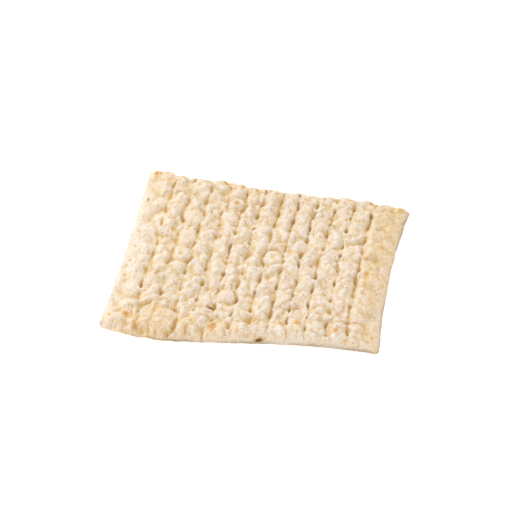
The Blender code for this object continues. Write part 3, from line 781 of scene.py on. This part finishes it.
def flat_blank():
    """A closed flat sheet: a fine grid on top, a coarser one below, and rings between them round
    the rim. Rows run from the back to the front."""
    across = shares(grid_lines(COLUMNS, LEFT_MARGIN, RIGHT_MARGIN, LINES_ACROSS))
    along = [-share for share in shares(grid_lines(ROWS, BACK_MARGIN, FRONT_MARGIN, LINES_ALONG))]
    wide = len(across)
    deep = len(along)
    points = [(s, t, 1.0) for t in along for s in across]
    faces = grid_faces(0, wide, deep)

    # Rings of the rim, from the widest place downwards, each under the one before.
    loop = edge_loop(wide, deep)
    ring = [j * wide + i for j, i in loop]
    for step in range(1, RIM_RINGS + 1):
        level = math.cos(0.5 * math.pi * step / (RIM_RINGS + 1))
        first = len(points)
        points += [(across[i], along[j], level) for j, i in loop]
        lower = list(range(first, first + len(loop)))
        for k in range(len(loop)):
            after = (k + 1) % len(loop)
            faces.append((ring[k], lower[k], lower[after], ring[after]))
        ring = lower

    # The underside, and the strip that joins it to the last ring.
    kept_across = every(wide, LINES_TO_UNDER)
    kept_along = every(deep, LINES_TO_UNDER)
    first = len(points)
    points += [(across[i], along[j], 0.0) for j in kept_along for i in kept_across]
    under_wide = len(kept_across)
    faces += [(a, d, c, b) for a, b, c, d in grid_faces(first, under_wide, len(kept_along))]
    under_at = {
        (j, i): first + b * under_wide + a
        for b, j in enumerate(kept_along)
        for a, i in enumerate(kept_across)
    }
    kept = [k for k, place in enumerate(loop) if place in under_at]
    for start, stop in zip(kept, kept[1:] + [len(loop)]):
        above = [ring[k % len(loop)] for k in range(start, stop + 1)]
        ahead = under_at[loop[stop % len(loop)]]
        behind = under_at[loop[start]]
        faces.append(tuple(reversed(above)) + (behind, ahead))

    blank = bpy.data.meshes.new("flat blank")
    blank.from_pydata(points, [], faces)
    blank.shade_smooth()
    return blank


def attribute(tree, name):
    """A field of the mesh's own, read by the material."""
    node = add_node(tree, "ShaderNodeAttribute", {}, attribute_name=name)
    return Field(tree, node.outputs["Fac"])


def noise(tree, place, size, detail=2.0, roughness=0.5):
    """Noise from 0 to 1 in the material, with swells about this size in metres."""
    inputs = {"Vector": place, "Scale": 1.0 / size, "Detail": detail, "Roughness": roughness}
    return Field(tree, add_node(tree, "ShaderNodeTexNoise", inputs).outputs[0])


def blended(share, under, over):
    """The colour over laid on the colour under, by a share from 0 to 1. A Mix node's colours are
    its inputs 6 and 7."""
    inputs = {0: share, 6: under, 7: over}
    return add_node(share.tree, "ShaderNodeMix", inputs, data_type="RGBA").outputs[2]


def layered(colour, *layers):
    """A colour with others laid over it in turn, each by a share of its own."""
    for share, over in layers:
        colour = blended(share, colour, over)
    return colour


def patch(column, row, centre, half_width, half_length):
    """1 in the middle of a patch, fading out round it, with its half sizes in pitches."""
    off_column = (column - centre[0]) / half_width
    off_row = (row - centre[1]) / half_length
    return bell(off_column * off_column + off_row * off_row)


def new_material(name, inputs):
    """A material with these values on its surface: it, its tree, the surface, and the place on the
    piece."""
    material = bpy.data.materials.new(name)
    material.use_nodes = True
    tree = material.node_tree
    surface = tree.nodes["Principled BSDF"]
    feed(surface, inputs)
    return material, tree, surface, add_node(tree, "ShaderNodeTexCoord", {}).outputs["Object"]


def finish(surface, colour, roughness, height, strength, depth):
    """Gives a surface its colour and roughness, and its grain as a bump of this depth."""
    inputs = {"Height": height, "Strength": strength, "Distance": depth}
    normal = add_node(height.tree, "ShaderNodeBump", inputs).outputs["Normal"]
    feed(surface, {"Base Color": colour, "Roughness": roughness, "Normal": normal})


def floury_grain_group():
    """The fine, dusty grain that flour leaves: a height for the bump and a mask of its dust."""
    group = bpy.data.node_groups.new("floury grain", "ShaderNodeTree")
    add_socket(group, "INPUT", "Vector", "Place")
    add_socket(group, "INPUT", "Float", "Grain size")
    add_socket(group, "OUTPUT", "Float", "Height")
    add_socket(group, "OUTPUT", "Float", "Dust")
    group_in = group.nodes.new("NodeGroupInput")
    size = Field(group, group_in.outputs["Grain size"])
    height = noise(group, group_in.outputs["Place"], size, 4.0, 0.65)
    add_node(group, "NodeGroupOutput", {"Height": height, "Dust": ramp(height, 0.42, 0.68)})
    return group


floury_grain = floury_grain_group()


def place_grain(tree, place, size):
    """The floury grain's height and dust in one material."""
    inputs = {"Place": place, "Grain size": size}
    node = add_node(tree, "ShaderNodeGroup", inputs, node_tree=floury_grain)
    return Field(tree, node.outputs["Height"]), Field(tree, node.outputs["Dust"])


def baked_crust():
    """Cream dough with painted shade, deeper and yellower in the hollows, creases, pits and lower
    rim, and painted light along the left edge; dusted with flour on the crests, with brown spots
    where a crest touched the heat, and specks of bran."""
    cream = (0.87, 0.755, 0.605, 1.0)
    pale = (0.865, 0.832, 0.825, 1.0)
    rosy = (0.875, 0.75, 0.625, 1.0)
    tan = (0.74, 0.50, 0.17, 1.0)
    golden = (0.88, 0.66, 0.38, 1.0)
    biscuit = (0.76, 0.51, 0.25, 1.0)
    toasted = (0.70, 0.38, 0.12, 1.0)
    scorched = (0.46, 0.19, 0.06, 1.0)
    meal_tan = (0.73, 0.54, 0.33, 1.0)
    pit_shade_brown = (0.62, 0.41, 0.16, 1.0)
    first_pit_shade_orange = (0.76, 0.43, 0.15, 1.0)
    rim_shade_brown = (0.42, 0.31, 0.19, 1.0)
    flour_white = (0.86, 0.82, 0.76, 1.0)
    split_edge = (0.62, 0.36, 0.13, 1.0)
    split_shade_dark = (0.21, 0.09, 0.02, 1.0)
    bran = (0.46, 0.27, 0.11, 1.0)
    light_bran = (0.62, 0.42, 0.20, 1.0)
    greyer_tint = (0.50, 0.41, 0.30, 1.0)

    inputs = {
        "Specular IOR Level": 0.25,
        "Subsurface Weight": 0.35,
        "Subsurface Radius": (1.0, 0.6, 0.35),
        "Subsurface Scale": 0.9 * MM,
    }
    material, tree, surface, place = new_material("baked crust", inputs)
    pit, crease, pore, split_open, toast, inner, underneath, rim = (
        attribute(tree, name)
        for name in ("pit", "crease", "pore", "split", "toast", "inner", "underneath", "rim")
    )
    column, row, hollow, small_hollow, steepness = (
        attribute(tree, name) for name in ("column", "row", "hollow", "small_hollow", "steepness")
    )
    height, dust = place_grain(tree, place, 0.85 * MM)
    drift = noise(tree, place, 26.0 * MM)
    mottle = noise(tree, place, 4.5 * MM, 3.0)
    meal = noise(tree, place, 0.6 * MM, 3.0, 0.65)

    # Broad drifts of rosier and paler dough, and a paler band along the left edge, painted light
    # where the light falls from the left.
    floured = ramp(mottle, 0.4, 0.66) * ramp(column, 1.5, 4.5) * (1.0 - ramp(column, 11.0, 12.6))
    left_painted_light = (1.0 - ramp(column, 0.1, 1.6)) * ramp(row, 0.5, 4.0)
    colour = layered(
        cream,
        (ramp(drift, 0.4, 0.62), rosy),
        (floured * 0.6, pale),
        (left_painted_light * 0.35, pale),
    )

    # Yellower in patches near the front left and along the right edge, some of them browner, and a
    # little deeper along the back.
    front_left = (1.0 - ramp(column, 1.0, 6.0)) * ramp(row, 7.5, 10.0)
    front_left = front_left * (0.4 + 0.5 * ramp(column, 0.9, 1.8))
    front_left = front_left + 0.7 * ramp(row, 9.6, 10.4) * (1.0 - ramp(column, 5.0, 8.0))
    front_left = front_left * (0.3 + 0.7 * ramp(column, -0.3, 0.9))
    right_edge = ramp(column, 11.8, 13.0) * (1.5 - ramp(row, 4.5, 9.0))
    yellow = front_left + right_edge
    patches = ramp(mottle, 0.42, 0.58)
    brown_patches = ramp(noise(tree, place, 2.2 * MM), 0.5, 0.6)
    colour = layered(
        colour,
        (smaller(yellow * (0.15 + 0.5 * patches), 1.0), golden),
        (smaller(yellow * brown_patches * 0.5, 1.0), biscuit),
        ((1.0 - ramp(row, 0.5, 3.5)) * 0.1, tan),
    )

    # Painted shade: deeper and yellower in the hollows and on steep flanks. Pale with flour on the
    # crests.
    depth = ramp(hollow, -0.45, 0.8) * 0.75 + ramp(small_hollow, -0.02, 0.1) * 0.25
    depth = smaller(depth + ramp(steepness, 0.06, 0.4) * 0.12, 1.0)
    depth = depth * ramp(inner, 0.3, 0.85)
    crests = (1.0 - ramp(hollow, -0.9, -0.05)) * (0.35 + 0.65 * dust)
    colour = layered(colour, (depth * 0.88, tan), (crests * 0.7, pale))

    # The meal in the dough shows as fine tan mottling between the dust. The creases and the pits
    # are browner with painted shade, most of all the pits of the first column.
    shaded_first_pits = ramp(pit, 0.08, 0.45) * (1.0 - ramp(column, 0.3, 0.7))
    colour = layered(
        colour,
        (ramp(meal, 0.48, 0.6) * 0.55, meal_tan),
        ((1.0 - ramp(meal, 0.32, 0.5)) * (0.4 - 0.3 * depth), pale),
        (smaller(crease * 0.35 + ramp(pit, 0.02, 0.4) * 0.6, 0.85), tan),
        (ramp(pit, 0.25, 0.8) * 0.55, pit_shade_brown),
        (shaded_first_pits * 0.65, first_pit_shade_orange),
    )

    # Browned spots, and painted shade along the lower rim and the bottom of the front and the
    # right.
    rim_shade_share = (0.35 + 0.55 * ramp(drift, 0.35, 0.6)) * ramp(column, 0.3, 2.0)
    colour = layered(
        colour,
        (ramp(toast, 0.05, 0.4) * 0.7, golden),
        (ramp(toast, 0.25, 0.7) * 0.85, toasted),
        (ramp(toast, 0.8, 1.0) * 0.6, scorched),
        (rim * rim_shade_share, rim_shade_brown),
    )

    # A floury patch at the back left, a greyer one in front of it, painted shade in the pores, and
    # the splits, brown at their edges and dark inside with painted shade.
    colour = layered(
        colour,
        (patch(column, row, (2.65, 0.9), 0.9, 0.6) * 0.6 * dust, flour_white),
        (patch(column, row, (1.8, 6.9), 0.6, 0.6) * 0.5 * meal, greyer_tint),
        (pore * 0.5, tan),
        (ramp(split_open, 0.05, 0.5) * 0.7, split_edge),
        (ramp(split_open, 0.4, 0.8), split_shade_dark),
    )

    # Bran specks, dark and light: the cells they lie in, the share of the cells that has one, and
    # how far the second pattern is moved off the first.
    x, y, z = parts_of(tree, place)
    for cell, share, kind, moved in (
        (1.7 * MM, 0.2, bran, 0.0),
        (1.2 * MM, 0.26, light_bran, 3.0),
    ):
        ragged_x = x + moved + SPECK_RAGGEDNESS * (meal - 0.5)
        ragged_y = y + SPECK_RAGGEDNESS * (height - 0.5)
        inputs = {"Vector": point(tree, ragged_x, ragged_y, z), "Scale": 1.0 / cell}
        cells = add_node(tree, "ShaderNodeTexVoronoi", inputs)
        own = parts_of(tree, cells.outputs["Color"])[0]
        near = 1.0 - ramp(Field(tree, cells.outputs["Distance"]), 0.1, 0.24)
        speck = near * (1.0 - ramp(own, share, share + 0.01))
        colour = blended(speck * 0.7, colour, kind)

    # The underside browned evenly where it lay on the oven band.
    under_mottle = noise(tree, place, 7.0 * MM, 4.0)
    under_colour = layered(
        cream,
        (ramp(under_mottle, 0.35, 0.65), golden),
        (ramp(under_mottle, 0.6, 0.78) * 0.5, toasted),
    )
    colour = blended(underneath, colour, under_colour)
    roughness = 0.82 + 0.14 * dust - 0.18 * ramp(toast, 0.3, 0.9)
    finish(surface, colour, roughness, height, 1.0, 0.72 * MM)
    return material


crust = grow(
    "crust",
    flat_blank(),
    docked_sheet_tree(),
    {
        "Crest height": CREST_HEIGHT,
        "Seam height": SEAM_HEIGHT,
        "Pit floor": PIT_FLOOR,
        "Edge height": EDGE_HEIGHT,
        "Material": baked_crust(),
    },
)
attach(crust, "root")
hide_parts("flatbread")


# ----------------------------------------------------------------------------------------------
# The bran. Flat flecks of the grain's husk, ground into the meal. They lie nearly flat in the skin
# of the crust, turned all ways, light brown ones and a few dark ones.

FLECK_RADIUS = 0.31 * MM
FLECK_FLATNESS = 0.22
FLECKS_TO_SQUARE_METRE = 170000.0


def own_attribute(tree, name):
    """A field of the mesh's own, read in Geometry Nodes."""
    node = add_node(tree, "GeometryNodeInputNamedAttribute", {"Name": name})
    return Field(tree, node.outputs["Attribute"])


def luck_for_each(tree, least, most, seed):
    """A random number for each point or each instance."""
    inputs = {2: least, 3: most, "Seed": seed}
    return Field(tree, add_node(tree, "FunctionNodeRandomValue", inputs).outputs[1])


def grains_tree(name, roundness, seed):
    """Lays small flat grains over the top of a mesh and gives each a number of its own."""
    sizes = ("Radius", "Flatness", "Number to a square metre", "Least puff")
    tree, group_in, (radius, flatness, density, least_puff) = new_tree(name, sizes)
    top = 1.0 - own_attribute(tree, "underneath")
    puff = own_attribute(tree, "puffed")
    clear = ramp(position(tree)[2], 1.2 * MM, 2.0 * MM)  # of what the bread lies on
    kept = top * (1.0 - 0.8 * ramp(least_puff - puff, 0.0, 0.3)) * clear
    inputs = {"Mesh": group_in.outputs["Geometry"], "Density": density * kept, "Seed": seed}
    spread = add_node(tree, "GeometryNodeDistributePointsOnFaces", inputs)

    grain = add_node(tree, "GeometryNodeMeshIcoSphere", {"Radius": radius, "Subdivisions": 1})
    long = luck_for_each(tree, 0.5, 1.3, 41)
    wide = long * luck_for_each(tree, roundness, 1.0, 42)
    inputs = {
        "Points": spread.outputs["Points"],
        "Instance": grain.outputs["Mesh"],
        "Rotation": spread.outputs["Rotation"],
        "Scale": point(tree, long, wide, long * flatness),
    }
    laid = add_node(tree, "GeometryNodeInstanceOnPoints", inputs).outputs["Instances"]
    tilt_x = luck_for_each(tree, -0.35, 0.35, 43)
    tilt_y = luck_for_each(tree, -0.35, 0.35, 44)
    around = luck_for_each(tree, 0.0, 2.0 * math.pi, 45)
    inputs = {"Instances": laid, "Rotation": point(tree, tilt_x, tilt_y, around)}
    spun = add_node(tree, "GeometryNodeRotateInstances", inputs).outputs["Instances"]
    own = luck_for_each(tree, 0.0, 1.0, 46)
    end_tree(tree, group_in, store(tree, spun, "own", own, "INSTANCE"))
    return tree


def bran_husk():
    """Husk, mostly light brown and now and then dark brown, dusted with flour."""
    light_brown = (0.60, 0.43, 0.25, 1.0)
    brown = (0.46, 0.32, 0.18, 1.0)
    dark_brown = (0.38, 0.25, 0.13, 1.0)
    dusty = (0.84, 0.75, 0.62, 1.0)
    material, tree, surface, place = new_material("bran husk", {"Specular IOR Level": 0.3})
    height, dust = place_grain(tree, place, 0.3 * MM)
    own = attribute(tree, "own")
    browner = (ramp(own, 0.4, 0.75), brown)
    darkest = (ramp(own, 0.9, 0.91), dark_brown)
    colour = layered(light_brown, browner, darkest, (dust * 0.35, dusty))
    finish(surface, colour, 0.7 + 0.2 * dust, height, 0.5, 0.05 * MM)
    return material


bran_flecks = grow(
    "bran_flecks",
    crust.data,
    grains_tree("bran flecks", 0.35, SEED),
    {
        "Radius": FLECK_RADIUS,
        "Flatness": FLECK_FLATNESS,
        "Number to a square metre": FLECKS_TO_SQUARE_METRE,
        "Least puff": -1.0,
        "Material": bran_husk(),
    },
)
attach(bran_flecks, "root")


# ----------------------------------------------------------------------------------------------
# The meal. Coarse grits and clots of flour, from the dough and from the dusting on the belt. They
# cling to the crust everywhere, most thickly on the crests.

GRIT_RADIUS = 0.21 * MM
GRIT_FLATNESS = 0.6
GRITS_TO_SQUARE_METRE = 560000.0


def coarse_meal():
    """Grits from floury white to tan, with a dusty surface."""
    floury = (0.88, 0.84, 0.81, 1.0)
    cream = (0.86, 0.74, 0.57, 1.0)
    tan = (0.70, 0.50, 0.27, 1.0)
    material, tree, surface, place = new_material("coarse meal", {"Specular IOR Level": 0.2})
    height, dust = place_grain(tree, place, 0.25 * MM)
    own = attribute(tree, "own")
    creamier = (ramp(own, 0.35, 0.6), cream)
    darkest = (ramp(own, 0.7, 0.85), tan)
    colour = layered(floury, creamier, darkest, (dust * 0.4, floury))
    finish(surface, colour, 0.85 + 0.1 * dust, height, 0.4, 0.04 * MM)
    return material


meal_grits = grow(
    "meal_grits",
    crust.data,
    grains_tree("meal grits", 0.7, SEED + 1),
    {
        "Radius": GRIT_RADIUS,
        "Flatness": GRIT_FLATNESS,
        "Number to a square metre": GRITS_TO_SQUARE_METRE,
        "Least puff": 0.4,
        "Material": coarse_meal(),
    },
)
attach(meal_grits, "root")


# ----------------------------------------------------------------------------------------------
# The studio: a plain pale floor that runs out of sight, soft light all round and a little more from
# the left and behind, and a camera that looks down at the bread from the front, a little to its
# right.

FLOOR_HALF = 2.0
floor_mesh = bpy.data.meshes.new("studio_floor")
corners = ((-1, -1), (1, -1), (1, 1), (-1, 1))
floor_corners = [(x * FLOOR_HALF, y * FLOOR_HALF, 0) for x, y in corners]
floor_mesh.from_pydata(floor_corners, [], [(0, 1, 2, 3)])
studio_floor = new_object("studio_floor", floor_mesh)
white_surface = {
    "Base Color": (0.7, 0.7, 0.7, 1.0),
    "Roughness": 0.9,
    "Specular IOR Level": 0.0,
    "Emission Color": (1.0, 1.0, 1.0, 1.0),
    "Emission Strength": 0.57,
}
floor_mesh.materials.append(new_material("studio white", white_surface)[0])

world = bpy.data.worlds.new("studio")
world.use_nodes = True
soft_light = {"Color": (1.0, 0.973, 0.936, 1.0), "Strength": 1.012}
feed(world.node_tree.nodes["Background"], soft_light)
bpy.context.scene.world = world
bpy.context.scene.view_settings.view_transform = "Standard"

# The key light stands a metre away, to the left of the bread and a little behind it.
key = bpy.data.lights.new("key", "AREA")
key.shape = "SQUARE"
key.size = 0.35
key.energy = 4.35
key.color = (0.90, 0.955, 1.0)
key_light = new_object("key", key)
key_light.location = Vector((-0.85, 0.3, 0.78)).normalized()
key_light.rotation_euler = key_light.location.to_track_quat("Z", "Y").to_euler()

CAMERA_ELEVATION = math.radians(44.0)
CAMERA_AZIMUTH = math.radians(10.0)
CAMERA_DISTANCE = 0.8685
CAMERA_TARGET = Vector((0.00224, 0.00161, 0.0))
FOCAL_LENGTH = 126.6  # millimetres, on a sensor 36 mm wide
lens = bpy.data.cameras.new("camera")
lens.lens = FOCAL_LENGTH
lens.sensor_width = 36.0
camera = new_object("camera", lens)
back = Vector(
    (
        math.sin(CAMERA_AZIMUTH) * math.cos(CAMERA_ELEVATION),
        -math.cos(CAMERA_AZIMUTH) * math.cos(CAMERA_ELEVATION),
        math.sin(CAMERA_ELEVATION),
    )
)
camera.location = CAMERA_TARGET + back * CAMERA_DISTANCE
camera.rotation_euler = back.to_track_quat("Z", "Y").to_euler()
bpy.context.scene.camera = camera
